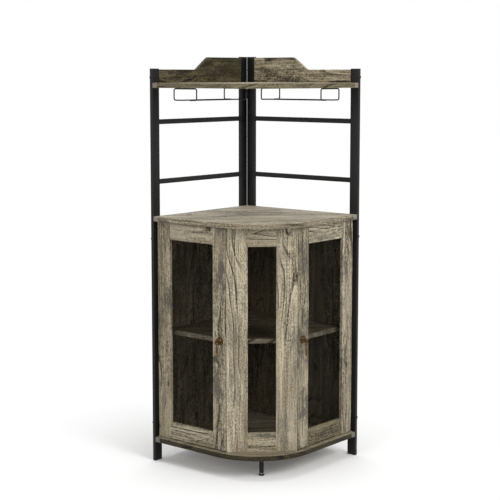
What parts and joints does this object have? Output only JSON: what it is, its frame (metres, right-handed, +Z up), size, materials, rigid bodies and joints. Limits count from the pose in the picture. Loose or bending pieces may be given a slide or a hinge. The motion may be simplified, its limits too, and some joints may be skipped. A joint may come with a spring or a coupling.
{
  "type": "corner bar cabinet",
  "caption": "Corner bar cabinet: black steel side frames, wooden boards, glazed lower cupboard with hinged doors, and wire stemware racks under the top shelf.",
  "frame": {"origin": "on the floor, at the middle of the bottom of the cabinet's bounding box", "axes": "+Z up, -Y the front with the rounded nose of the boards, +Y the room corner, +X the right side seen from the front"},
  "size_m": [0.6466, 0.5572, 1.2539],
  "materials": {
    "black_steel": "matte black powder coat",
    "black_wire": "satin black powder coat on round wire",
    "oak": "matte grey-brown weathered oak grain",
    "clear_glass": "clear float glass",
    "aged_brass": "aged dark brass",
    "zinc_steel": "bright zinc plate",
    "black_plastic": "matte black moulded plastic"
  },
  "bodies": {
    "cabinet": {"left_front_post": "black_steel", "left_front_post_foot": "black_plastic", "left_back_post": "black_steel", "left_back_post_foot": "black_plastic", "left_upper_rail": "black_steel", "left_lower_rail": "black_steel", "left_bottom_rail": "black_steel", "left_gallery": "oak", "left_side_panel": "oak", "left_shelf_pin_back": "zinc_steel", "left_shelf_pin_front": "zinc_steel", "left_glass_rack": "black_wire", "left_top_hinge_fixed_leaf": "zinc_steel", "left_bottom_hinge_fixed_leaf": "zinc_steel", "left_magnetic_catch": "black_plastic", "centre_left_stile": "oak", "right_front_post": "black_steel", "right_front_post_foot": "black_plastic", "right_back_post": "black_steel", "right_back_post_foot": "black_plastic", "right_upper_rail": "black_steel", "right_lower_rail": "black_steel", "right_bottom_rail": "black_steel", "right_gallery": "oak", "right_side_panel": "oak", "right_shelf_pin_back": "zinc_steel", "right_shelf_pin_front": "zinc_steel", "right_glass_rack": "black_wire", "right_top_hinge_fixed_leaf": "zinc_steel", "right_bottom_hinge_fixed_leaf": "zinc_steel", "right_magnetic_catch": "black_plastic", "centre_right_stile": "oak", "bottom_board": "oak", "counter_top": "oak", "middle_shelf": "oak", "top_shelf": "oak", "centre_top_rail": "oak", "centre_bottom_rail": "oak", "centre_glass": "clear_glass", "front_leg": "black_steel"},
    "left_door": {"left_top_hinge_door_leaf": "zinc_steel", "left_bottom_hinge_door_leaf": "zinc_steel", "left_door_outer_stile": "oak", "left_door_inner_stile": "oak", "left_door_top_rail": "oak", "left_door_bottom_rail": "oak", "left_door_glass": "clear_glass", "left_pull_rosette": "aged_brass"},
    "right_door": {"right_top_hinge_door_leaf": "zinc_steel", "right_bottom_hinge_door_leaf": "zinc_steel", "right_door_outer_stile": "oak", "right_door_inner_stile": "oak", "right_door_top_rail": "oak", "right_door_bottom_rail": "oak", "right_door_glass": "clear_glass", "right_pull_rosette": "aged_brass"},
    "left_pull": {"left_pull_pendant": "aged_brass"},
    "right_pull": {"right_pull_pendant": "aged_brass"},
    "levelling_glide": {"levelling_glide": "black_plastic"}
  },
  "joints": [
    {"name": "left_door_hinge", "type": "hinge", "parent": "cabinet", "child": "left_door", "pos_m": [-0.30087, -0.03609, 0.412], "axis": [0, 0, -1], "range_deg": [0, 100]},
    {"name": "right_door_hinge", "type": "hinge", "parent": "cabinet", "child": "right_door", "pos_m": [0.30087, -0.03609, 0.412], "axis": [0, 0, 1], "range_deg": [0, 100]},
    {"name": "left_pull_swing", "type": "hinge", "parent": "left_door", "child": "left_pull", "pos_m": [-0.13377, -0.22299, 0.412], "axis": [-0.7071, 0.7071, 0], "range_deg": [-12, 80]},
    {"name": "right_pull_swing", "type": "hinge", "parent": "right_door", "child": "right_pull", "pos_m": [0.13377, -0.22299, 0.412], "axis": [-0.7071, -0.7071, 0], "range_deg": [-12, 80]},
    {"name": "glide_screw_travel", "type": "slide", "parent": "cabinet", "child": "levelling_glide", "axis": [0, 0, 1], "range_m": [0, 0.0033]}
  ]
}
